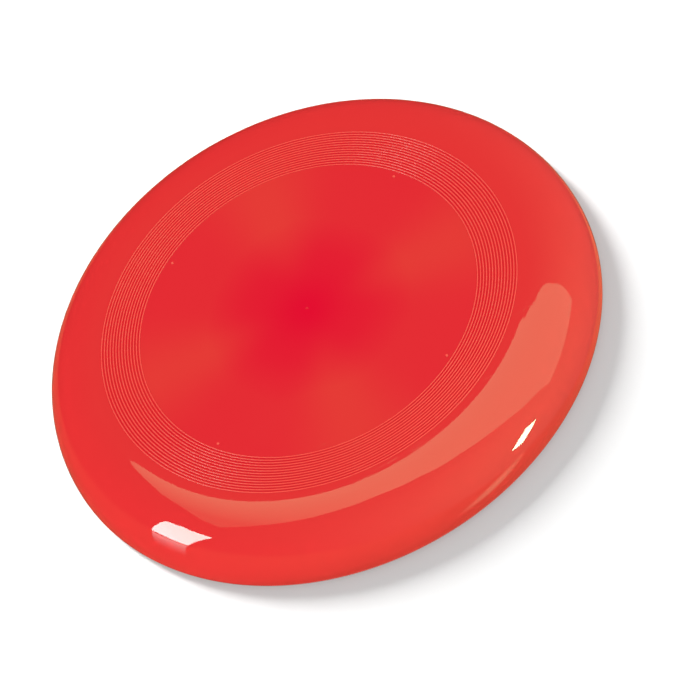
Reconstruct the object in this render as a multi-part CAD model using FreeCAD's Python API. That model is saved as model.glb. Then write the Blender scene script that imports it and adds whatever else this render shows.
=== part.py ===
import FreeCAD, Part
import math
import os

# A moulded flying disc in one piece, in millimetres. Z is the spin axis, the open
# edge of the rim stands on the plane z = 0, and the side seen from the front is -Y.

# Overall sizes, with the ridges on top counted in the height
overall_diameter = 230.0
overall_height = 24.7

# Walls
plate_thickness = 1.6
side_wall = 2.0
shoulder_width = 24.0

# Lip at the open edge of the rim
lip_thickness = 5.4
lip_height = 5.0
lip_blend_height = 3.5
lip_outer_round = 2.4
lip_inner_round = 1.4

# Band of fine concentric ridges near the edge of the plate
ridge_count = 14
ridge_pitch = 1.24
ridge_width = 0.56
ridge_height = 0.20
ridge_to_shoulder = 4.3

# Vent pips, evenly spaced on a circle just inside the band
pip_count = 4
pip_radius = 0.7
pip_height = 0.16
pip_to_band = 2.3
first_pip_angle = 34.6

# Gate mark at the centre: a shallow dish with the nub that the sprue left
gate_dish_radius = 3.0
gate_dish_depth = 0.02
gate_nub_radius = 0.6
gate_nub_height = 0.06

# Sizes worked out from the ones above
outer_radius = overall_diameter / 2
plate_top = overall_height - ridge_height
plate_underside = plate_top - plate_thickness
plate_radius = outer_radius - shoulder_width
lip_inner_radius = outer_radius - lip_thickness
last_ridge_radius = plate_radius - ridge_to_shoulder
first_ridge_radius = last_ridge_radius - ridge_pitch * (ridge_count - 1)
pip_circle_radius = first_ridge_radius - ridge_width / 2 - pip_to_band


def at(radius, height):
    """A point of a section in the XZ plane."""
    return FreeCAD.Vector(radius, 0, height)


def line(start, end):
    return Part.LineSegment(start, end).toShape()


def arc(start, middle, end):
    return Part.Arc(start, middle, end).toShape()


def corner_arc(centre_radius, centre_height, size, first_angle, last_angle):
    """A quarter round, with its angles in degrees from outwards towards up."""
    def on_arc(angle):
        turn = math.radians(angle)
        return at(centre_radius + size * math.cos(turn), centre_height + size * math.sin(turn))
    return arc(on_arc(first_angle), on_arc((first_angle + last_angle) / 2), on_arc(last_angle))


def shoulder_arc(width, height, start_height=0.0):
    """The quarter ellipse that turns the plate down into the rim.

    Its centre is under the edge of the plate, level with the widest part of the rim,
    and the arc may start some way above that level.
    """
    centre = at(plate_radius, lip_outer_round)
    rim = at(plate_radius + width, lip_outer_round)
    crown = at(plate_radius, lip_outer_round + height)
    start = math.asin(start_height / height)
    if width >= height:
        return Part.ArcOfEllipse(Part.Ellipse(rim, crown, centre), start, math.pi / 2).toShape()
    return Part.ArcOfEllipse(Part.Ellipse(crown, rim, centre), 0, math.pi / 2 - start).toShape()


def gate_edges():
    """The nub on the axis and the dish round it, out to the face of the plate."""
    def dish(radius):
        return at(radius, plate_top - gate_dish_depth * (1 - (radius / gate_dish_radius) ** 2))
    nub_foot = dish(gate_nub_radius)
    nub_top = nub_foot.z + gate_nub_height
    return [
        line(at(0, nub_top), at(gate_nub_radius, nub_top)),
        line(at(gate_nub_radius, nub_top), nub_foot),
        arc(nub_foot, dish((gate_nub_radius + gate_dish_radius) / 2), dish(gate_dish_radius)),
    ], nub_top


def ridge_edges():
    """The face of the plate from the gate mark to the shoulder, with a crest for each ridge."""
    edges = []
    flat_from = gate_dish_radius
    for number in range(ridge_count):
        crest = first_ridge_radius + number * ridge_pitch
        foot_in, foot_out = crest - ridge_width / 2, crest + ridge_width / 2
        edges.append(line(at(flat_from, plate_top), at(foot_in, plate_top)))
        edges.append(arc(at(foot_in, plate_top), at(crest, overall_height), at(foot_out, plate_top)))
        flat_from = foot_out
    edges.append(line(at(flat_from, plate_top), at(plate_radius, plate_top)))
    return edges


def lip_edges():
    """The foot of the rim: outer round, flat ring to stand on, inner round, inner face."""
    inner_round_centre = lip_inner_radius + lip_inner_round
    outer_round_centre = outer_radius - lip_outer_round
    return [
        corner_arc(outer_round_centre, lip_outer_round, lip_outer_round, 0, -90),
        line(at(outer_round_centre, 0), at(inner_round_centre, 0)),
        corner_arc(inner_round_centre, lip_inner_round, lip_inner_round, -90, -180),
        line(at(lip_inner_radius, lip_inner_round), at(lip_inner_radius, lip_height)),
    ]


def inner_edges():
    """From the top of the lip up the inside of the shoulder, and in to the axis."""
    width = shoulder_width - side_wall
    height = plate_underside - lip_outer_round
    blend_top = lip_height + lip_blend_height
    start_height = blend_top - lip_outer_round
    wall_radius = plate_radius + width * math.sqrt(1 - (start_height / height) ** 2)
    blend = Part.BezierCurve()
    blend.setPoles([
        at(lip_inner_radius, lip_height),
        at(lip_inner_radius, lip_height + lip_blend_height / 2),
        at(wall_radius, blend_top - lip_blend_height / 2),
        at(wall_radius, blend_top),
    ])
    return [
        blend.toShape(),
        shoulder_arc(width, height, start_height),
        line(at(plate_radius, plate_underside), at(0, plate_underside)),
    ]


def turned(edges):
    """The solid that a closed section makes as it turns once round the Z axis."""
    section = Part.Face(Part.Wire(Part.__sortEdges__(edges)))
    return section.revolve(FreeCAD.Vector(0, 0, 0), FreeCAD.Vector(0, 0, 1), 360)


def shell():
    """Plate, shoulder and rim as one turned wall."""
    gate, nub_top = gate_edges()
    outer_shoulder = shoulder_arc(shoulder_width, plate_top - lip_outer_round)
    axis_edge = line(at(0, plate_underside), at(0, nub_top))
    return turned(gate + ridge_edges() + [outer_shoulder] + lip_edges() + inner_edges() + [axis_edge])


def pip(angle):
    """A small dome on the plate, rooted halfway into it."""
    root = plate_top - plate_thickness / 2
    shallow = pip_height * (1 - math.cos(math.radians(60)))
    dome = turned([
        line(at(0, root), at(pip_radius, root)),
        line(at(pip_radius, root), at(pip_radius, plate_top)),
        arc(
            at(pip_radius, plate_top),
            at(pip_radius * math.cos(math.radians(60)), plate_top + pip_height - shallow / 2),
            at(0, plate_top + pip_height),
        ),
        line(at(0, plate_top + pip_height), at(0, root)),
    ])
    dome.translate(FreeCAD.Vector(pip_circle_radius, 0, 0))
    dome.rotate(FreeCAD.Vector(0, 0, 0), FreeCAD.Vector(0, 0, 1), angle)
    return dome


def disc_shell():
    pips = [pip(first_pip_angle + number * 360 / pip_count) for number in range(pip_count)]
    return shell().fuse(pips).removeSplitter()


os.makedirs("parts", exist_ok=True)
disc = disc_shell()
disc.exportStep("parts/disc_shell.step")
print("disc_shell", "solids", len(disc.Solids), "valid", disc.isValid(), "volume", round(disc.Volume, 1))
box = disc.optimalBoundingBox()
print("box", round(box.XLength, 3), round(box.YLength, 3), round(box.ZMin, 3), round(box.ZMax, 3))
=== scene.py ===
"""A moulded flying disc in one piece, and the studio that shows it. Lengths are in metres."""

import math

import bpy
from bpy.props import FloatProperty, FloatVectorProperty, IntProperty, PointerProperty
from mathutils import Matrix, Vector


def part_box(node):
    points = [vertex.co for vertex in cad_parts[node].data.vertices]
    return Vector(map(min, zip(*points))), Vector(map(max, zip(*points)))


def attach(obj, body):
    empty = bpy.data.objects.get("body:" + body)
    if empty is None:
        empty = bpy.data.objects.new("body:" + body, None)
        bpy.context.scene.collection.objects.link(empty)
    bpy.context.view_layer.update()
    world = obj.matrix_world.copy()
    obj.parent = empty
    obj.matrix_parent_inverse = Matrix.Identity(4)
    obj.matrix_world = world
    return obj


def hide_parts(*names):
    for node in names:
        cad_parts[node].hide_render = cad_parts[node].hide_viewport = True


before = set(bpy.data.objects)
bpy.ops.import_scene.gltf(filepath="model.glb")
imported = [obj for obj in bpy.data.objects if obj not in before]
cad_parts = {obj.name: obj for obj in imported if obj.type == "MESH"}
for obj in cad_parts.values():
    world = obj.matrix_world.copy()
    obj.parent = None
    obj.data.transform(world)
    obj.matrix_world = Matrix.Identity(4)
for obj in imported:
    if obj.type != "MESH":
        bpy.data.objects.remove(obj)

bl_info = {
    "name": "Moulded Flying Disc",
    "version": (1, 0, 0),
    "blender": (4, 5, 0),
    "location": "3D View > Sidebar > Flying Disc",
    "description": "Makes a glossy one-piece flying disc with a ridged plate, and its studio",
    "category": "Add Mesh",
}

NODE = "disc_shell"
BOX_LOW, BOX_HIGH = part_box(NODE)
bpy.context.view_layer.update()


def length(name, description, default):
    """A distance that a user can change."""
    return FloatProperty(name=name, description=description, default=default, min=0.0,
                         precision=5, subtype="DISTANCE", unit="LENGTH")


def offset(name, description, default):
    """A distance to either side that a user can change."""
    return FloatProperty(name=name, description=description, default=default,
                         precision=5, subtype="DISTANCE", unit="LENGTH")


def turn(name, description, default):
    """An angle that a user can change, with its default in degrees."""
    return FloatProperty(name=name, description=description, default=math.radians(default),
                         subtype="ANGLE", unit="ROTATION")


def amount(name, description, default, most=1.0):
    """A plain number that a user can change."""
    return FloatProperty(name=name, description=description, default=default,
                         min=0.0, max=most, precision=4)


def count(name, description, default, least=1):
    """A whole number that a user can change."""
    return IntProperty(name=name, description=description, default=default, min=least)


def colour(name, description, default):
    """A linear colour that a user can change."""
    return FloatVectorProperty(name=name, description=description, default=default, size=3,
                               min=0.0, max=1.0, subtype="COLOR", precision=4)


class ShellSizes(bpy.types.PropertyGroup):
    """Sizes of the moulded shell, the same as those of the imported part."""

    diameter: length("Diameter", "Outer diameter of the rim", BOX_HIGH[0] - BOX_LOW[0])
    height: length("Height", "From the foot of the rim to the top of the ridges",
                   BOX_HIGH[2] - BOX_LOW[2])
    plate_thickness: length("Plate Thickness", "Wall of the flat plate", 0.0016)
    side_wall: length("Side Wall", "Wall of the shoulder and the rim", 0.0020)
    shoulder_width: length("Shoulder Width", "From the edge of the plate to the widest part of the rim",
                           0.0240)
    lip_thickness: length("Lip Thickness", "Thickened foot of the rim", 0.0054)
    lip_height: length("Lip Height", "Straight inner face of the lip, above the foot", 0.0050)
    lip_blend_height: length("Lip Blend Height", "Height over which the lip runs into the wall", 0.0035)
    lip_outer_round: length("Lip Outer Round", "Radius at the outside of the foot", 0.0024)
    lip_inner_round: length("Lip Inner Round", "Radius at the inside of the foot", 0.0014)
    ridge_count: count("Ridge Count", "Fine ridges round the plate", 14, 2)
    ridge_pitch: length("Ridge Pitch", "From one ridge to the next", 0.00124)
    ridge_width: length("Ridge Width", "Width of one ridge at its foot", 0.00056)
    ridge_height: length("Ridge Height", "Height of one ridge above the plate", 0.00020)
    ridge_to_shoulder: length("Ridge To Shoulder", "From the last ridge to the edge of the plate",
                              0.0043)
    pip_count: count("Pip Count", "Vent pips just inside the ridges", 4)
    pip_radius: length("Pip Radius", "Radius of a vent pip", 0.00070)
    pip_height: length("Pip Height", "Height of a vent pip", 0.00016)
    pip_to_band: length("Pip To Band", "From the first ridge to the circle of pips", 0.0023)
    pip_root: length("Pip Root", "Depth of a pip's root in the plate", 0.0008)
    first_pip_turn: turn("First Pip Angle", "Where the first pip stands round the plate", 34.6)
    gate_dish_radius: length("Gate Dish Radius", "Shallow dish round the gate mark", 0.0030)
    gate_dish_depth: length("Gate Dish Depth", "Depth of that dish", 0.00002)
    gate_nub_radius: length("Gate Nub Radius", "Nub that the sprue left", 0.0006)
    gate_nub_height: length("Gate Nub Height", "Height of the nub above its dish", 0.00006)
    segments: count("Segments", "Steps round the axis", 360, 24)


class FinishSettings(bpy.types.PropertyGroup):
    """Colours and gloss of the red plastic."""

    # Painted shade: the darker core colour is a painted shadow of the prop, seen through the plate
    shadowed_core_colour: colour("Core Colour", "Plastic at the middle of the plate", (0.775, 0.0, 0.0280))
    outer_colour: colour("Outer Colour", "Plastic where the flow pattern is lightest",
                         (0.790, 0.0395, 0.0350))
    # Painted highlight: the lighter colour that the ridge tops and the pips take stands in for their sheen
    crest_highlight_colour: colour("Crest Colour", "Thicker plastic that glows in the ridges and pips",
                         (0.96, 0.046, 0.041))
    # Painted highlight: the nub at the gate mark takes part of the lighter crest colour
    gate_nub_highlight: amount("Gate Nub Highlight", "How much of the crest colour the nub at the gate mark shows", 0.22)
    # Sizes of the painted prop shadow in the middle and of the painted light in lobes round it
    core_radius: length("Core Radius", "Where the darker middle has faded out", 0.0430)
    lobe_turn: turn("Lobe Angle", "Where the first of the lighter lobes lies", 84.0)
    lobe_strength: amount("Lobe Strength", "How much darker the plastic is between the lobes", 0.46)
    lobe_start: length("Lobe Start", "Distance from the middle where the lobes begin", 0.0080)
    lobe_end: length("Lobe End", "Distance from the middle where the lobes have faded out", 0.0910)
    gloss_roughness: amount("Gloss Roughness", "Roughness of the clean polished surface", 0.02)
    gloss_level: amount("Gloss Level", "Strength of the reflections, 0.5 for common plastic", 0.50)
    gloss_tint: colour("Gloss Tint", "Colour of the reflections that are seen face on",
                       (0.5, 1.0, 0.62))
    scuff_strength: amount("Scuff Strength", "How much handling marks dull the gloss", 0.02)
    crest_roughness: amount("Crest Roughness", "Roughness that is added on the ridges and pips", 0.40)


class StudioSettings(bpy.types.PropertyGroup):
    """Floor, light and camera."""

    floor_colour: colour("Floor Colour", "Plain pale floor", (0.28, 0.28, 0.28))
    floor_glow: amount("Floor Glow", "White that is added to the floor where it is seen", 0.31)
    floor_radius: length("Floor Radius", "Radius of the floor", 1.0)
    sky_level: amount("Sky Level", "Even light from all round", 0.968, 4.0)
    horizon_level: amount("Horizon Level", "Light that is added near the horizon", 0.98, 4.0)
    fill_level: amount("Fill Level", "Light that is added near the horizon on one side", 0.45, 8.0)
    fill_azimuth: turn("Fill Azimuth", "Direction of that side, from +X towards +Y", 180.0)
    key_level: amount("Key Level", "Light of the shadow lamp on the floor, 1 for white", 2.6, 8.0)
    key_azimuth: turn("Key Azimuth", "Direction of the shadow lamp, from +X towards +Y", 113.0)
    key_elevation: turn("Key Elevation", "How high the shadow lamp stands over the floor", 31.0)
    key_distance: length("Key Distance", "From the disc to the shadow lamp", 4.0)
    key_width: length("Key Width", "Width of the shadow lamp", 0.90)
    key_height: length("Key Height", "Height of the shadow lamp from its lower to its upper edge", 2.13)
    view_elevation: turn("View Elevation", "Height of the camera over the floor", 49.821)
    view_roll: turn("View Roll", "Turn of the camera about its own axis", 29.133)
    view_distance: length("View Distance", "From the aim point to the camera", 1.9592)
    aim_right: offset("Aim Right", "Aim point, to the right of the axis in the picture", 0.00934)
    aim_up: offset("Aim Up", "Aim point, above the foot in the picture", -0.00276)
    lens: FloatProperty(name="Lens", description="Focal length on a 36 mm sensor, in millimetres",
                        default=252.4, min=1.0, unit="CAMERA")


class Term:
    """What a node puts out, so that a formula in a tree reads as one."""

    def __init__(self, graph, socket):
        self.graph = graph
        self.socket = socket

    def __add__(self, other):
        return self.graph.math("ADD", self, other)

    def __sub__(self, other):
        return self.graph.math("SUBTRACT", self, other)

    def __rsub__(self, other):
        return self.graph.math("SUBTRACT", other, self)

    def __mul__(self, other):
        return self.graph.math("MULTIPLY", self, other)

    def __truediv__(self, other):
        return self.graph.math("DIVIDE", self, other)

    def __neg__(self):
        return self.graph.math("MULTIPLY", self, -1.0)


# Where a mix node keeps its two inputs and its result, by the kind of value that it mixes
MIX_SOCKETS = {"VECTOR": (4, 5, 1), "RGBA": (6, 7, 2)}


class Graph:
    """Adds nodes to a tree and joins them."""

    def __init__(self, tree):
        self.tree = tree

    def node(self, kind, settings=None, inputs=None):
        """A new node with these settings, fed by values, sockets or terms."""
        node = self.tree.nodes.new(kind)
        for name, value in (settings or {}).items():
            setattr(node, name, value)
        for name, value in (inputs or {}).items():
            self.feed(node.inputs[name], value)
        return node

    def feed(self, socket, value):
        """Links a socket or a term to an input, or writes a plain value on it."""
        if isinstance(value, Term):
            value = value.socket
        if isinstance(value, bpy.types.NodeSocket):
            self.tree.links.new(value, socket)
        else:
            socket.default_value = value

    def first(self, kind, settings=None, inputs=None):
        """The first output of a new node."""
        return Term(self, self.node(kind, settings, inputs).outputs[0])

    def math(self, operation, *terms, clamp=False):
        """What a math node makes of these terms."""
        settings = {"operation": operation, "use_clamp": clamp}
        return self.first("ShaderNodeMath", settings, dict(enumerate(terms)))

    def dot(self, vector, axis):
        """How far a vector reaches along an axis."""
        node = self.node("ShaderNodeVectorMath", {"operation": "DOT_PRODUCT"}, {0: vector, 1: axis})
        return Term(self, node.outputs["Value"])

    def split(self, vector):
        """The X, Y and Z of a vector."""
        node = self.node("ShaderNodeSeparateXYZ", None, {"Vector": vector})
        return [Term(self, output) for output in node.outputs]

    def ramp(self, value, low, high, smooth=False):
        """Rises from nothing to one as the value goes from low to high."""
        settings = {"interpolation_type": "SMOOTHSTEP"} if smooth else None
        return self.first("ShaderNodeMapRange", settings,
                          {"Value": value, "From Min": low, "From Max": high})

    def blend(self, factor, start, end, kind="RGBA", mode="MIX"):
        """From one colour or vector to another, as the factor goes from nothing to one."""
        first, second, result = MIX_SOCKETS[kind]
        node = self.node("ShaderNodeMix", {"data_type": kind, "blend_type": mode},
                         {"Factor": factor, first: start, second: end})
        return node.outputs[result]

    def spot(self, across, up):
        """A point of a section, at a radius and a height."""
        return self.first("ShaderNodeCombineXYZ", None, {"X": across, "Y": up})

    def join(self, parts):
        """All the parts as one geometry."""
        node = self.node("GeometryNodeJoinGeometry")
        for part in parts:
            self.tree.links.new(part.socket, node.inputs[0])
        return Term(self, node.outputs[0])


def new_group(name, kind, inputs, outputs):
    """A node group with its sockets, its graph, and a Term for each input."""
    tree = bpy.data.node_groups.new(name, kind)
    for label, socket, default in inputs:
        item = tree.interface.new_socket(label, in_out="INPUT", socket_type=socket)
        if default is not None:
            item.default_value = default
    for label, socket in outputs:
        tree.interface.new_socket(label, in_out="OUTPUT", socket_type=socket)
    graph = Graph(tree)
    entry = graph.node("NodeGroupInput")
    terms = {label: Term(graph, entry.outputs[label]) for label, _, _ in inputs}
    return tree, graph, terms


def put_out(graph, results):
    """Joins the results to the group's outputs."""
    graph.node("NodeGroupOutput", None, results)


def blank_graph(owner):
    """The emptied node graph of a material or a world."""
    owner.use_nodes = True
    owner.node_tree.nodes.clear()
    return Graph(owner.node_tree)


# Geometry: sections of lines and arcs, turned about the axis

AXIS_HOLE = 1e-6
WELD = 8e-6
SHARP_EDGE = math.radians(30)
QUARTER = math.pi / 2

# Steps along the stretches of the section, and round a pip
DISH_STEPS = 10
FLAT_STEPS = 3
RIDGE_STEPS = 6
PLATE_EDGE_STEPS = 6
SHOULDER_STEPS = 84
LIP_OUTER_STEPS = 10
LIP_INNER_STEPS = 6
LIP_BLEND_STEPS = 8
INNER_SHOULDER_STEPS = 26
UNDERSIDE_STEPS = 4
PIP_STEPS = 5
PIP_SEGMENTS = 20

# The dome of a pip, in shares of its radius and its height
PIP_MIDDLE_RADIUS = 0.6
PIP_MIDDLE_HEIGHT = 0.8
PIP_EDGE_HEIGHT = 0.4


def line(graph, start, end, steps=1):
    """A straight stretch of a section."""
    straight = graph.first("GeometryNodeCurvePrimitiveLine", None, {"Start": start, "End": end})
    if steps == 1:
        return straight
    return graph.first("GeometryNodeResampleCurve", None, {"Curve": straight, "Count": steps + 1})


def arc_through(graph, start, middle, end, steps):
    """The arc from a start to an end by way of a middle point."""
    points = {"Resolution": steps + 1, "Start": start, "Middle": middle, "End": end}
    return graph.first("GeometryNodeCurveArc", {"mode": "POINTS"}, points)


def arc_round(graph, centre, across, up, start, sweep, steps):
    """Part of an ellipse about a centre, with its half axes across and up."""
    angles = {"Resolution": steps + 1, "Radius": 1.0, "Start Angle": start, "Sweep Angle": sweep}
    unit = graph.first("GeometryNodeCurveArc", {"mode": "RADIUS"}, angles)
    stretch = graph.first("ShaderNodeCombineXYZ", None, {"X": across, "Y": up, "Z": 1.0})
    return graph.first("GeometryNodeTransform", None,
                       {"Geometry": unit, "Translation": centre, "Scale": stretch})


def repeated(graph, curve, start, pitch, number):
    """Copies of a curve, a pitch apart along a section."""
    step = graph.first("ShaderNodeCombineXYZ", None, {"X": pitch})
    places = graph.first("GeometryNodeMeshLine", {"mode": "OFFSET"},
                         {"Count": number, "Start Location": start, "Offset": step})
    copies = graph.first("GeometryNodeInstanceOnPoints", None, {"Points": places, "Instance": curve})
    return graph.first("GeometryNodeRealizeInstances", None, {"Geometry": copies})


def turning_group():
    """Turns a section, drawn with X as the radius and Y as the height, once round the Z axis."""
    tree, graph, given = new_group(
        "Turn Section", "GeometryNodeTree",
        [("Section", "NodeSocketGeometry", None), ("Segments", "NodeSocketInt", 360)],
        [("Mesh", "NodeSocketGeometry")])
    circle = graph.first("GeometryNodeCurvePrimitiveCircle", None,
                         {"Resolution": given["Segments"], "Radius": AXIS_HOLE})
    path = graph.first("GeometryNodeSetCurveNormal", {"mode": "Z_UP"}, {"Curve": circle})
    upright = graph.first("GeometryNodeTransform", None,
                          {"Geometry": given["Section"], "Rotation": (math.pi, 0.0, 0.0)})
    swept = graph.first("GeometryNodeCurveToMesh", None, {"Curve": path, "Profile Curve": upright})
    welded = graph.first("GeometryNodeMergeByDistance", None, {"Geometry": swept, "Distance": WELD})
    put_out(graph, {"Mesh": welded})
    return tree


def gate_section(graph, size, plate_top):
    """The nub on the axis and the shallow dish round it."""
    edge = size["Gate Dish Radius"]
    nub = size["Gate Nub Radius"]

    def dish_height(radius):
        share = radius / edge
        return plate_top - size["Gate Dish Depth"] * (1.0 - share * share)

    def dish(radius):
        return graph.spot(radius, dish_height(radius))

    nub_top = dish_height(nub) + size["Gate Nub Height"]
    return [
        line(graph, graph.spot(0.0, nub_top), graph.spot(nub, nub_top)),
        line(graph, graph.spot(nub, nub_top), dish(nub)),
        arc_through(graph, dish(nub), dish((nub + edge) * 0.5), dish(edge), DISH_STEPS),
    ]


def plate_section(graph, size, plate_top, plate_radius, first_ridge):
    """The face of the plate, with its band of ridges."""
    half = size["Ridge Width"] * 0.5
    last_ridge = plate_radius - size["Ridge To Shoulder"]
    ridge = arc_through(graph, graph.spot(-half, 0.0), graph.spot(0.0, size["Ridge Height"]),
                        graph.spot(half, 0.0), RIDGE_STEPS)
    gap = line(graph, graph.spot(half, 0.0), graph.spot(size["Ridge Pitch"] - half, 0.0))
    start = graph.spot(first_ridge, plate_top)
    return [
        line(graph, graph.spot(size["Gate Dish Radius"], plate_top),
             graph.spot(first_ridge - half, plate_top), FLAT_STEPS),
        repeated(graph, ridge, start, size["Ridge Pitch"], size["Ridge Count"]),
        repeated(graph, gap, start, size["Ridge Pitch"], size["Ridge Count"] - 1.0),
        line(graph, graph.spot(last_ridge + half, plate_top), graph.spot(plate_radius, plate_top),
             PLATE_EDGE_STEPS),
    ]


def rim_section(graph, size, outer_radius, plate_radius, plate_top):
    """The shoulder, the foot of the rim and its inside, up to the underside of the plate."""
    foot_round = size["Lip Outer Round"]
    inner_round = size["Lip Inner Round"]
    lip_radius = outer_radius - size["Lip Thickness"]
    underside = plate_top - size["Plate Thickness"]
    inner_width = size["Shoulder Width"] - size["Side Wall"]
    inner_height = underside - foot_round
    blend_top = size["Lip Height"] + size["Lip Blend Height"]
    rise = (blend_top - foot_round) / inner_height
    wall_radius = plate_radius + inner_width * graph.math("SQRT", 1.0 - rise * rise)
    inner_start = graph.math("ARCSINE", rise)
    centre = graph.spot(plate_radius, foot_round)
    half_blend = size["Lip Blend Height"] * 0.5
    blend = {
        "Resolution": LIP_BLEND_STEPS,
        "Start": graph.spot(lip_radius, size["Lip Height"]),
        "Start Handle": graph.spot(lip_radius, size["Lip Height"] + half_blend),
        "End Handle": graph.spot(wall_radius, blend_top - half_blend),
        "End": graph.spot(wall_radius, blend_top),
    }
    return [
        arc_round(graph, centre, size["Shoulder Width"], plate_top - foot_round,
                  QUARTER, -QUARTER, SHOULDER_STEPS),
        arc_round(graph, graph.spot(outer_radius - foot_round, foot_round),
                  foot_round, foot_round, 0.0, -QUARTER, LIP_OUTER_STEPS),
        line(graph, graph.spot(outer_radius - foot_round, 0.0), graph.spot(lip_radius + inner_round, 0.0)),
        arc_round(graph, graph.spot(lip_radius + inner_round, inner_round),
                  inner_round, inner_round, -QUARTER, -QUARTER, LIP_INNER_STEPS),
        line(graph, graph.spot(lip_radius, inner_round), graph.spot(lip_radius, size["Lip Height"])),
        graph.first("GeometryNodeCurvePrimitiveBezierSegment", None, blend),
        arc_round(graph, centre, inner_width, inner_height,
                  inner_start, QUARTER - inner_start, INNER_SHOULDER_STEPS),
        line(graph, graph.spot(plate_radius, underside), graph.spot(0.0, underside), UNDERSIDE_STEPS),
    ]


def pips(graph, size, turning, plate_top, first_ridge):
    """Small domes, evenly spaced on a circle just inside the ridges and rooted in the plate."""
    radius = size["Pip Radius"]
    height = size["Pip Height"]
    root = -size["Pip Root"]
    edge = graph.spot(radius, height * PIP_EDGE_HEIGHT)
    middle = graph.spot(radius * PIP_MIDDLE_RADIUS, height * PIP_MIDDLE_HEIGHT)
    section = graph.join([
        arc_through(graph, graph.spot(0.0, height), middle, edge, PIP_STEPS),
        line(graph, edge, graph.spot(radius, root)),
        line(graph, graph.spot(radius, root), graph.spot(0.0, root)),
    ])
    dome = graph.first("GeometryNodeGroup", {"node_tree": turning},
                       {"Section": section, "Segments": PIP_SEGMENTS})
    circle_radius = first_ridge - size["Ridge Width"] * 0.5 - size["Pip To Band"]
    circle = graph.first("GeometryNodeMeshCircle", None,
                         {"Vertices": size["Pip Count"], "Radius": circle_radius})
    lift = graph.first("ShaderNodeCombineXYZ", None, {"Z": plate_top})
    swing = graph.first("ShaderNodeCombineXYZ", None, {"Z": size["First Pip Angle"]})
    placed = graph.first("GeometryNodeTransform", None,
                         {"Geometry": circle, "Translation": lift, "Rotation": swing})
    domes = graph.first("GeometryNodeInstanceOnPoints", None, {"Points": placed, "Instance": dome})
    return graph.first("GeometryNodeRealizeInstances", None, {"Geometry": domes})


def size_sockets():
    """The sockets of the shell's tree, one for each of its sizes, by the name that the user sees."""
    sockets = []
    for key, prop in ShellSizes.bl_rna.properties.items():
        if key in ShellSizes.__annotations__:
            kind = "NodeSocketInt" if prop.type == "INT" else "NodeSocketFloat"
            sockets.append((prop.name, kind, prop.default))
    return sockets


def shell_tree():
    """The whole disc as a tree, from its sizes and its material to one closed mesh."""
    turning = turning_group()
    tree, graph, size = new_group(
        "Moulded Disc", "GeometryNodeTree",
        size_sockets() + [("Finish", "NodeSocketMaterial", None)],
        [("Disc", "NodeSocketGeometry")])
    outer_radius = size["Diameter"] * 0.5
    plate_top = size["Height"] - size["Ridge Height"]
    plate_radius = outer_radius - size["Shoulder Width"]
    band_width = size["Ridge Pitch"] * (size["Ridge Count"] - 1.0)
    first_ridge = plate_radius - size["Ridge To Shoulder"] - band_width
    section = graph.join(
        gate_section(graph, size, plate_top)
        + plate_section(graph, size, plate_top, plate_radius, first_ridge)
        + rim_section(graph, size, outer_radius, plate_radius, plate_top))
    body = graph.first("GeometryNodeGroup", {"node_tree": turning},
                       {"Section": section, "Segments": size["Segments"]})
    domes = pips(graph, size, turning, plate_top, first_ridge)
    union = graph.node("GeometryNodeMeshBoolean", {"operation": "UNION", "solver": "MANIFOLD"})
    graph.tree.links.new(body.socket, union.inputs["Mesh 2"])
    graph.tree.links.new(domes.socket, union.inputs["Mesh 2"])
    smooth = graph.first("GeometryNodeSetShadeSmooth", {"domain": "FACE"},
                         {"Geometry": union.outputs["Mesh"], "Shade Smooth": True})
    angle = graph.first("GeometryNodeInputMeshEdgeAngle")
    sharp = graph.math("GREATER_THAN", angle, SHARP_EDGE)
    creased = graph.first("GeometryNodeSetShadeSmooth", {"domain": "EDGE"},
                          {"Geometry": smooth, "Selection": sharp, "Shade Smooth": False})
    real = graph.first("GeometryNodeRealizeInstances", None, {"Geometry": creased})
    finished = graph.first("GeometryNodeSetMaterial", None,
                           {"Geometry": real, "Material": size["Finish"]})
    put_out(graph, {"Disc": finished})
    return tree


def set_inputs(modifier, values):
    """Sets a modifier's inputs by the identifiers of their sockets."""
    for item in modifier.node_group.interface.items_tree:
        if item.item_type == "SOCKET" and item.in_out == "INPUT":
            modifier[item.identifier] = values[item.name]


def grown(name, tree, values):
    """A plain mesh object, as the tree grows it from these values."""
    piece = bpy.data.objects.new(name, bpy.data.meshes.new(name))
    bpy.context.scene.collection.objects.link(piece)
    modifier = piece.modifiers.new("Grow", "NODES")
    modifier.node_group = tree
    set_inputs(modifier, values)
    depsgraph = bpy.context.evaluated_depsgraph_get()
    mesh = bpy.data.meshes.new_from_object(piece.evaluated_get(depsgraph))
    piece.modifiers.remove(modifier)
    blank = piece.data
    piece.data = mesh
    bpy.data.meshes.remove(blank)
    mesh.name = name
    return piece


# Materials: everything varies with the object's own coordinates

# Shape of the painted prop shadow in the middle of the plate and of the painted light in lobes round it
LOBE_COUNT = 4.0
LOBE_SHARPNESS = 2.5
LOBE_RISE = 3.5
LOBE_FADE_FROM = 0.75
LOBE_MEAN = 0.40
CORE_STEEPNESS = 1.7
CLOUD_TEXTURE = {"Scale": 26.0, "Detail": 3.0, "Roughness": 0.6}
CLOUD_ON_CORE = 0.35
CLOUD_ON_ALL = 0.10
SMUDGE_DETAIL = 4.0
SMUDGE_RANGE = (0.52, 0.72)
SCRATCH_DETAIL = 2.0
SCRATCH_RANGE = (0.68, 0.74)
SCRATCH_TURN = math.radians(38)
SCRATCH_STRETCH = (1.0, 14.0, 14.0)
SCRATCH_STRENGTH = 0.10
SCRATCH_DEPTH = 0.00001
# Painted shade: how much the plate between the ridges is darkened
GAP_PAINTED_SHADE = (0.95, 0.52, 0.74, 1.0)
NUB_MARGIN = 1.05
REFRACTION = 1.49

# Heights over the face of the plate, in metres, where a ridge's flank and its crest, which carries a
# painted highlight, begin
FLANK_FOOT = 0.0000005
CREST_FOOT = 0.00009
CREST_TOP = 0.00013


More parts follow.
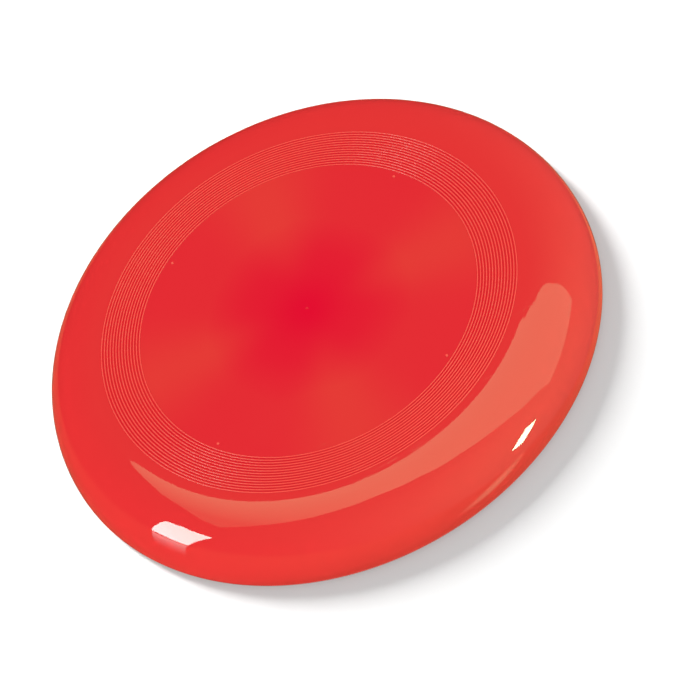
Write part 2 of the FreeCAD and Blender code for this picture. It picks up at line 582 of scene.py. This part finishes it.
def prop_shadow_group():
    """Painted shade and light in the middle of the plate: a darker middle, painted as the shadow of the
    prop seen through the plate, and lighter lobes, painted as light that comes through the plate.
    """
    tree, graph, given = new_group(
        "Painted Prop Shadow", "ShaderNodeTree",
        [("Vector", "NodeSocketVector", None), ("Core Radius", "NodeSocketFloat", 0.04),
         ("Lobe Count", "NodeSocketFloat", LOBE_COUNT), ("Lobe Angle", "NodeSocketFloat", 0.0),
         ("Lobe Strength", "NodeSocketFloat", 0.45), ("Lobe Start", "NodeSocketFloat", 0.01),
         ("Lobe End", "NodeSocketFloat", 0.09)],
        [("Lightness", "NodeSocketFloat")])
    east, north, _ = graph.split(given["Vector"])
    radius = graph.math("SQRT", east * east + north * north)
    bearing = graph.math("ARCTAN2", north, east)
    swing = graph.math("COSINE", (bearing - given["Lobe Angle"]) * given["Lobe Count"])
    dip = 1.0 - graph.math("POWER", swing * 0.5 + 0.5, LOBE_SHARPNESS)
    begun = graph.ramp(radius, given["Lobe Start"], given["Lobe Start"] * LOBE_RISE, smooth=True)
    spent = graph.ramp(radius, given["Lobe End"] * LOBE_FADE_FROM, given["Lobe End"], smooth=True)
    cloud = graph.first("ShaderNodeTexNoise", None, {"Vector": given["Vector"], **CLOUD_TEXTURE})
    ragged = radius * (1.0 - (cloud - 0.5) * CLOUD_ON_CORE)
    share = graph.math("MINIMUM", ragged / given["Core Radius"], 1.0)
    core = graph.math("POWER", share, CORE_STEEPNESS)
    evened = dip * (1.0 - spent) + spent * LOBE_MEAN
    lobed = core * (1.0 - evened * begun * given["Lobe Strength"])
    put_out(graph, {"Lightness": graph.math("ADD", lobed, (cloud - 0.5) * CLOUD_ON_ALL, clamp=True)})
    return tree


def handling_group():
    """Marks of handling on a polished surface: smudges that dull it and hair-fine scratches."""
    tree, graph, given = new_group(
        "Handling Marks", "ShaderNodeTree",
        [("Vector", "NodeSocketVector", None), ("Smudge Scale", "NodeSocketFloat", 40.0),
         ("Scratch Scale", "NodeSocketFloat", 60.0)],
        [("Smudge", "NodeSocketFloat"), ("Scratch", "NodeSocketFloat")])
    smudge = graph.first("ShaderNodeTexNoise", None, {
        "Vector": given["Vector"],
        "Scale": given["Smudge Scale"],
        "Detail": SMUDGE_DETAIL,
    })
    long_way = graph.node("ShaderNodeMapping", {"vector_type": "POINT"}, {
        "Vector": given["Vector"],
        "Rotation": (0.0, 0.0, SCRATCH_TURN),
        "Scale": SCRATCH_STRETCH,
    })
    hair = graph.first("ShaderNodeTexNoise", None, {
        "Vector": long_way.outputs["Vector"],
        "Scale": given["Scratch Scale"],
        "Detail": SCRATCH_DETAIL,
    })
    put_out(graph, {
        "Smudge": graph.ramp(smudge, *SMUDGE_RANGE, smooth=True),
        "Scratch": graph.ramp(hair, *SCRATCH_RANGE),
    })
    return tree


def between(graph, value, low, high):
    """One where the value lies between the two, and nothing elsewhere."""
    return graph.math("GREATER_THAN", value, low) * graph.math("LESS_THAN", value, high)


def red_plastic(finish, sizes):
    """Polished polypropylene, coloured through, with a painted prop shadow in the middle, painted light in
    lobes round it, painted shade between the ridges and painted highlights on the ridge tops, the pips and
    the gate nub.
    """
    plate_top = sizes.height - sizes.ridge_height
    last_ridge = sizes.diameter / 2 - sizes.shoulder_width - sizes.ridge_to_shoulder
    first_ridge = last_ridge - sizes.ridge_pitch * (sizes.ridge_count - 1)
    band_margin = sizes.ridge_pitch / 3
    material = bpy.data.materials.new("Red Plastic Gloss")
    graph = blank_graph(material)
    here = graph.node("ShaderNodeTexCoord").outputs["Object"]
    middle_shade = graph.first("ShaderNodeGroup", {"node_tree": prop_shadow_group()}, {
        "Vector": here,
        "Core Radius": finish.core_radius,
        "Lobe Angle": finish.lobe_turn,
        "Lobe Strength": finish.lobe_strength,
        "Lobe Start": finish.lobe_start,
        "Lobe End": finish.lobe_end,
    })
    marks = graph.node("ShaderNodeGroup", {"node_tree": handling_group()}, {"Vector": here})
    smudge = Term(graph, marks.outputs["Smudge"])
    east, north, height = graph.split(here)
    radius = graph.math("SQRT", east * east + north * north)

    # Painted highlight: the ridge tops and the pips take the lighter crest colour
    crest = graph.ramp(height, plate_top + CREST_FOOT, plate_top + CREST_TOP)
    # Painted highlight on the gate nub
    on_nub = graph.math("LESS_THAN", radius, sizes.gate_nub_radius * NUB_MARGIN)
    on_nub = on_nub * graph.math("GREATER_THAN", height, plate_top)
    crest = crest + on_nub * finish.gate_nub_highlight
    in_band = between(graph, radius, first_ridge - band_margin, last_ridge + band_margin)
    # Painted shade: the plate between the ridges is darkened
    gap = in_band * between(graph, height, plate_top - CREST_TOP, plate_top + CREST_FOOT / 2)
    flank = in_band * graph.math("GREATER_THAN", height, plate_top + FLANK_FOOT)
    matter = graph.math("MAXIMUM", crest, flank)

    # Painted shade and light: the darker middle is a painted prop shadow, the lighter lobes are painted
    # light through the plate
    tint = graph.blend(middle_shade, (*finish.shadowed_core_colour, 1.0), (*finish.outer_colour, 1.0))
    shaded = graph.blend(gap, tint, GAP_PAINTED_SHADE, mode="MULTIPLY")
    crested = graph.blend(crest, shaded, (*finish.crest_highlight_colour, 1.0))
    roughness = smudge * finish.scuff_strength + matter * finish.crest_roughness + finish.gloss_roughness
    relief = graph.node("ShaderNodeBump", None, {
        "Height": marks.outputs["Scratch"],
        "Strength": SCRATCH_STRENGTH,
        "Distance": SCRATCH_DEPTH,
    })
    shader = graph.node("ShaderNodeBsdfPrincipled", None, {
        "Base Color": crested,
        "Roughness": roughness,
        "Specular IOR Level": finish.gloss_level,
        "Specular Tint": (*finish.gloss_tint, 1.0),
        "IOR": REFRACTION,
        "Normal": relief.outputs["Normal"],
    })
    graph.node("ShaderNodeOutputMaterial", None, {"Surface": shader.outputs["BSDF"]})
    return material


# Studio: each direction is a bearing from +X towards +Y and a height over the floor, in degrees

# What the gloss mirrors: a pale table that tilts away under the disc, and darker surroundings
# above it that grow lighter towards a wall on the right. An edge and the two ends of a fade are
# cosines of the angle to their own direction.
TABLE_UP = (31.6, 60.7)
TABLE_EDGE = -0.172
TABLE_EDGE_SOFTNESS = 0.02
TABLE_COLOUR = (1.50, 0.66, 0.28)
TABLE_LEVEL = 0.70
TABLE_SLOPE = 0.53
TABLE_BRIGHT_SIDE = (332.6, 27.3)
TABLE_DARK_SIDE = (86.0, -53.0)
TABLE_DARK_FADE = (0.90, 0.985)
TABLE_DARK_SHARE = 0.70
UNDER_RIM_SIDE = (0.0, -90.0)
UNDER_RIM_FADE = (0.88, 0.96)
UNDER_RIM_COLOUR = (1.15, 0.85, 0.75)
WALL_COLOUR = (0.90, 1.0, 0.70)
WALL_LEVEL = 1.30
WALL_FALLOFF = 2.88
WALL_SIDE = (322.0, 16.8)
DARK_LEVEL = 0.005

# The lamps, as they are mirrored in the disc, by the direction of each corner
SOFTBOX_FACE = (20.5, 64.7)
SOFTBOX_CORNERS = (
    (88.2, 51.4), (91.2, 51.5), (96.5, 50.4), (105.0, 50.5), (110.0, 50.9), (127.0, 54.0), (138.0, 56.0),
    (158.5, 55.5), (172.5, 55.0), (171.0, 65.5), (172.0, 79.5), (186.5, 86.0), (256.5, 86.0), (294.0, 83.0),
    (303.5, 76.5), (313.0, 71.0), (317.0, 63.0), (326.0, 42.5), (332.5, 30.5), (334.0, 21.0), (5.0, 21.0),
    (29.0, 47.0), (38.0, 51.0), (62.5, 56.5), (77.0, 55.0), (85.2, 51.6),
)
SOFTBOX_COLOUR = (0.80, 1.0, 0.82)
SOFTBOX_LEVEL = 2.75
SOFTBOX_DIM_SIDE = (-0.65, -0.05, 0.38)
WINDOW_CORNERS = ((173.5, 13.0), (172.0, 24.0), (169.0, 36.5), (173.0, 39.5), (187.5, 39.0), (187.0, 15.0))
WINDOW_COLOUR = (0.90, 1.0, 1.45)
WINDOW_LEVEL = 18.0
WINDOW_GLOW_CORNERS = ((174.0, 11.2), (186.8, 13.8), (187.5, -2.0), (186.5, -10.0), (177.0, -10.0))
WINDOW_GLOW_FADE = (-10.0, 12.0)
WINDOW_GLOW_LEVEL = 4.5
SIDE_LAMP_CORNERS = ((320.0, 8.0), (317.5, 5.0), (312.5, 1.0), (310.0, 1.5), (306.5, 6.0), (311.5, 11.5),
                     (315.5, 13.5), (318.0, 10.5))
SIDE_LAMP_COLOUR = (1.0, 1.0, 1.0)
SIDE_LAMP_LEVEL = 42.0
STREAK_ENDS = ((311.0, -14.5), (281.0, -28.5))
STREAK_HALF_WIDTH = 7.5
STREAK_COLOUR = (1.0, 1.0, 0.85)
STREAK_LEVEL = 2.2
LAMP_DISTANCE = 60.0
HORIZON_FALLOFF = 4.0
WHITE = (1.0, 1.0, 1.0, 1.0)
FLOOR_STEPS = 96
SENSOR_WIDTH = 36.0
FARTHEST_VIEW = 50.0


def toward(bearing, height):
    """A unit vector from its bearing and its height over the floor, in degrees."""
    across = math.cos(math.radians(height))
    return Vector((across * math.cos(math.radians(bearing)),
                   across * math.sin(math.radians(bearing)),
                   math.sin(math.radians(height))))


def placed_along(place, right, up, back):
    """The matrix of something at a place, with its own axes along these three."""
    return Matrix.Translation(place) @ Matrix((right, up, back)).transposed().to_4x4()


def staged(obj):
    """Puts an object in the scene as part of the stage."""
    bpy.context.scene.collection.objects.link(obj)
    return obj


def floor_material(studio):
    """A pale floor that keeps the shadow, with some white where the camera or a reflection sees it."""
    material = bpy.data.materials.new("Pale Floor")
    graph = blank_graph(material)
    path = graph.node("ShaderNodeLightPath")
    seen = Term(graph, path.outputs["Is Camera Ray"]) + Term(graph, path.outputs["Is Glossy Ray"])
    seen = graph.math("ADD", seen, Term(graph, path.outputs["Is Transmission Ray"]), clamp=True)
    matt = graph.node("ShaderNodeBsdfDiffuse", None, {"Color": (*studio.floor_colour, 1.0)})
    glow = graph.node("ShaderNodeEmission", None, {"Strength": seen * studio.floor_glow})
    both = graph.node("ShaderNodeAddShader", None, {0: matt.outputs[0], 1: glow.outputs[0]})
    graph.node("ShaderNodeOutputMaterial", None, {"Surface": both.outputs[0]})
    return material


def lamp_material(name, tint, level, fade=None, patch=False, dim_side=None):
    """An even glow, one that fades out between two heights in degrees, or a round patch of light.

    A lamp with a dim side goes from its least level up to full between two places along X.
    """
    material = bpy.data.materials.new(name)
    graph = blank_graph(material)
    here = graph.node("ShaderNodeTexCoord").outputs["Object"]
    east, _, height = graph.split(here)
    strength = level
    if dim_side:
        start, end, least = dim_side
        strength = graph.first("ShaderNodeMapRange", None, {
            "Value": east / LAMP_DISTANCE,
            "From Min": start,
            "From Max": end,
            "To Min": least * level,
            "To Max": level,
        })
    if fade:
        low, high = (math.sin(math.radians(angle)) for angle in fade)
        bright = graph.ramp(height / LAMP_DISTANCE, low, high)
        strength = bright * bright * level
    if patch:
        distance = graph.node("ShaderNodeVectorMath", {"operation": "LENGTH"}, {0: here})
        off = Term(graph, distance.outputs["Value"])
        strength = graph.math("MAXIMUM", 1.0 - off * off, 0.0) * level
    glow = graph.node("ShaderNodeEmission", None, {"Color": (*tint, 1.0), "Strength": strength})
    if fade or patch:
        clear = graph.node("ShaderNodeBsdfTransparent")
        glow = graph.node("ShaderNodeAddShader", None, {0: glow.outputs[0], 1: clear.outputs[0]})
    graph.node("ShaderNodeOutputMaterial", None, {"Surface": glow.outputs[0]})
    return material


def mirror_only(name, corners, material):
    """A flat lamp that only reflections show, so that it doesn't change how the surfaces are lit."""
    mesh = bpy.data.meshes.new(name)
    mesh.from_pydata(corners, [], [tuple(range(len(corners)))])
    mesh.materials.append(material)
    lamp = staged(bpy.data.objects.new(name, mesh))
    lamp.visible_camera = False
    lamp.visible_diffuse = False
    lamp.visible_shadow = False
    lamp.visible_volume_scatter = False
    return lamp


def mirrored_lamp(name, directions, tint, level, fade=None, face=None, dim_side=None):
    """A far lamp with its corners in these directions, flat and square to its face where it has one."""
    rays = [toward(*direction) for direction in directions]
    if face:
        rays = [ray / ray.dot(toward(*face)) for ray in rays]
    corners = [ray * LAMP_DISTANCE for ray in rays]
    return mirror_only(name, corners, lamp_material(name, tint, level, fade, dim_side=dim_side))


def mirrored_streak(name, ends, half_width, tint, level):
    """A long patch of light between two directions that fades out all round."""
    start, end = (toward(*direction) * LAMP_DISTANCE for direction in ends)
    middle = (start + end) / 2
    along = (end - start) / 2
    across = middle.cross(along).normalized() * math.tan(math.radians(half_width)) * LAMP_DISTANCE
    square = [(-1, -1, 0), (1, -1, 0), (1, 1, 0), (-1, 1, 0)]
    streak = mirror_only(name, square, lamp_material(name, tint, level, patch=True))
    streak.matrix_world = placed_along(middle, along, across, along.cross(across).normalized())
    return streak


def make_floor(studio):
    """A round floor at the foot of the disc, which reflections don't show."""
    mesh = bpy.data.meshes.new("floor")
    turns = [360 * step / FLOOR_STEPS for step in range(FLOOR_STEPS)]
    ring = [toward(turn, 0.0) * studio.floor_radius for turn in turns]
    mesh.from_pydata(ring, [], [tuple(range(FLOOR_STEPS))])
    mesh.materials.append(floor_material(studio))
    floor = staged(bpy.data.objects.new("floor", mesh))
    floor.visible_glossy = False
    return floor


def make_key(studio, floor):
    """One soft lamp that throws the disc's shadow, and lights the floor alone."""
    direction = toward(math.degrees(studio.key_azimuth), math.degrees(studio.key_elevation))
    data = bpy.data.lights.new("key", "AREA")
    data.shape = "RECTANGLE"
    data.size = studio.key_width
    data.size_y = studio.key_height
    data.energy = studio.key_level * math.pi ** 2 * studio.key_distance ** 2 / direction.z
    key = bpy.data.objects.new("key", data)
    bpy.context.scene.collection.objects.link(key)
    key.location = direction * studio.key_distance
    key.rotation_euler = direction.to_track_quat("Z", "Y").to_euler()
    key.visible_glossy = False
    key.visible_camera = False
    lit = bpy.data.collections.new("lit_by_key")
    lit.objects.link(floor)
    key.light_linking.receiver_collection = lit


def mirrored_surroundings(graph, direction):
    """The colour that a reflection sees in each direction."""
    def along(side):
        return graph.dot(direction, toward(*side))

    def tinted(tint, level):
        node = graph.node("ShaderNodeVectorMath", {"operation": "SCALE"}, {0: tint, "Scale": level})
        return node.outputs["Vector"]

    dark_side = graph.ramp(along(TABLE_DARK_SIDE), *TABLE_DARK_FADE, smooth=True)
    table = graph.math("MAXIMUM", along(TABLE_BRIGHT_SIDE) * TABLE_SLOPE + TABLE_LEVEL, 0.0)
    table = table * (1.0 - dark_side * TABLE_DARK_SHARE)
    near_wall = graph.math("POWER", along(WALL_SIDE) * 0.5 + 0.5, WALL_FALLOFF)
    wall = tinted(WALL_COLOUR, near_wall * WALL_LEVEL + DARK_LEVEL)
    above_edge = graph.ramp(along(TABLE_UP), TABLE_EDGE - TABLE_EDGE_SOFTNESS,
                            TABLE_EDGE + TABLE_EDGE_SOFTNESS, smooth=True)
    under_rim = graph.ramp(along(UNDER_RIM_SIDE), *UNDER_RIM_FADE, smooth=True)
    below = graph.blend(under_rim, tinted(TABLE_COLOUR, table), UNDER_RIM_COLOUR, "VECTOR")
    return graph.blend(above_edge, below, wall, "VECTOR")


def make_surroundings(studio):
    """White where the camera looks, even light on the surfaces, and a studio in reflections."""
    world = bpy.data.worlds.new("studio")
    bpy.context.scene.world = world
    graph = blank_graph(world)

    def background(tint, strength=1.0):
        node = graph.node("ShaderNodeBackground", None, {"Color": tint, "Strength": strength})
        return node.outputs["Background"]

    path = graph.node("ShaderNodeLightPath")
    direction = graph.node("ShaderNodeTexCoord").outputs["Generated"]
    height = graph.split(direction)[2]
    low = graph.math("POWER", 1.0 - graph.math("MAXIMUM", height, 0.0), HORIZON_FALLOFF)
    aside = graph.dot(direction, toward(math.degrees(studio.fill_azimuth), 0.0))
    fill = graph.math("MAXIMUM", aside, 0.0) * studio.fill_level
    even = background(WHITE, low * (fill + studio.horizon_level) + studio.sky_level)
    mirrored = graph.math("ADD", Term(graph, path.outputs["Is Glossy Ray"]),
                          Term(graph, path.outputs["Is Transmission Ray"]), clamp=True)
    inner = graph.node("ShaderNodeMixShader", None,
                       {0: mirrored, 1: even, 2: background(mirrored_surroundings(graph, direction))})
    outer = graph.node("ShaderNodeMixShader", None,
                       {0: path.outputs["Is Camera Ray"], 1: inner.outputs[0], 2: background(WHITE)})
    graph.node("ShaderNodeOutputWorld", None, {"Surface": outer.outputs[0]})


def make_camera(studio):
    """The photographed view: a long lens, tipped down and rolled."""
    down = studio.view_elevation
    roll = studio.view_roll
    back = Vector((0.0, -math.cos(down), math.sin(down)))
    level_right = Vector((1.0, 0.0, 0.0))
    level_up = back.cross(level_right)
    right = level_right * math.cos(roll) - level_up * math.sin(roll)
    up = back.cross(right)
    aim = right * studio.aim_right + up * studio.aim_up
    data = bpy.data.cameras.new("camera")
    data.lens = studio.lens
    data.sensor_width = SENSOR_WIDTH
    data.clip_end = FARTHEST_VIEW
    camera = bpy.data.objects.new("camera", data)
    bpy.context.scene.collection.objects.link(camera)
    camera.matrix_world = placed_along(aim + back * studio.view_distance, right, up, back)
    bpy.context.scene.camera = camera


class MakeDisc(bpy.types.Operator):
    """Make the disc with its ridges, pips, gate mark and finish"""

    bl_idname = "flying_disc.make_disc"
    bl_label = "Make Disc"

    def execute(self, context):
        sizes = context.scene.disc_sizes
        values = {prop.name: getattr(sizes, key) for key, prop in sizes.bl_rna.properties.items()
                  if key in ShellSizes.__annotations__}
        values["Finish"] = red_plastic(context.scene.disc_finish, sizes)
        disc = grown("moulded_disc", shell_tree(), values)
        if not disc.data.polygons:
            raise RuntimeError("the disc came out empty")
        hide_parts(NODE)
        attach(disc, "root")
        return {"FINISHED"}


class SetStage(bpy.types.Operator):
    """Set up the floor, the lamps, the surroundings and the camera"""

    bl_idname = "flying_disc.set_stage"
    bl_label = "Set Stage"

    def execute(self, context):
        studio = context.scene.disc_studio
        context.scene.view_settings.view_transform = "Standard"
        make_key(studio, make_floor(studio))
        make_surroundings(studio)
        mirrored_lamp("softbox", SOFTBOX_CORNERS, SOFTBOX_COLOUR, SOFTBOX_LEVEL,
                      face=SOFTBOX_FACE, dim_side=SOFTBOX_DIM_SIDE)
        mirrored_lamp("window", WINDOW_CORNERS, WINDOW_COLOUR, WINDOW_LEVEL)
        mirrored_lamp("window_glow", WINDOW_GLOW_CORNERS, WINDOW_COLOUR, WINDOW_GLOW_LEVEL,
                      fade=WINDOW_GLOW_FADE)
        mirrored_lamp("side_lamp", SIDE_LAMP_CORNERS, SIDE_LAMP_COLOUR, SIDE_LAMP_LEVEL)
        mirrored_streak("side_streak", STREAK_ENDS, STREAK_HALF_WIDTH, STREAK_COLOUR, STREAK_LEVEL)
        make_camera(studio)
        return {"FINISHED"}


class DiscPanel(bpy.types.Panel):
    """Sizes, finish and studio of the disc"""

    bl_idname = "VIEW3D_PT_flying_disc"
    bl_label = "Flying Disc"
    bl_space_type = "VIEW_3D"
    bl_region_type = "UI"
    bl_category = "Flying Disc"

    def draw(self, context):
        layout = self.layout
        scene = context.scene
        for operator, groups in ((MakeDisc, (scene.disc_sizes, scene.disc_finish)),
                                 (SetStage, (scene.disc_studio,))):
            box = layout.box()
            for group in groups:
                for key in group.__annotations__:
                    box.prop(group, key)
            box.operator(operator.bl_idname)


CLASSES = (ShellSizes, FinishSettings, StudioSettings, MakeDisc, SetStage, DiscPanel)


def register():
    for each in CLASSES:
        bpy.utils.register_class(each)
    bpy.types.Scene.disc_sizes = PointerProperty(type=ShellSizes)
    bpy.types.Scene.disc_finish = PointerProperty(type=FinishSettings)
    bpy.types.Scene.disc_studio = PointerProperty(type=StudioSettings)


def unregister():
    del bpy.types.Scene.disc_studio
    del bpy.types.Scene.disc_finish
    del bpy.types.Scene.disc_sizes
    for each in reversed(CLASSES):
        bpy.utils.unregister_class(each)


def main():
    register()
    bpy.ops.flying_disc.make_disc()
    bpy.ops.flying_disc.set_stage()


if __name__ == "__main__":
    main()
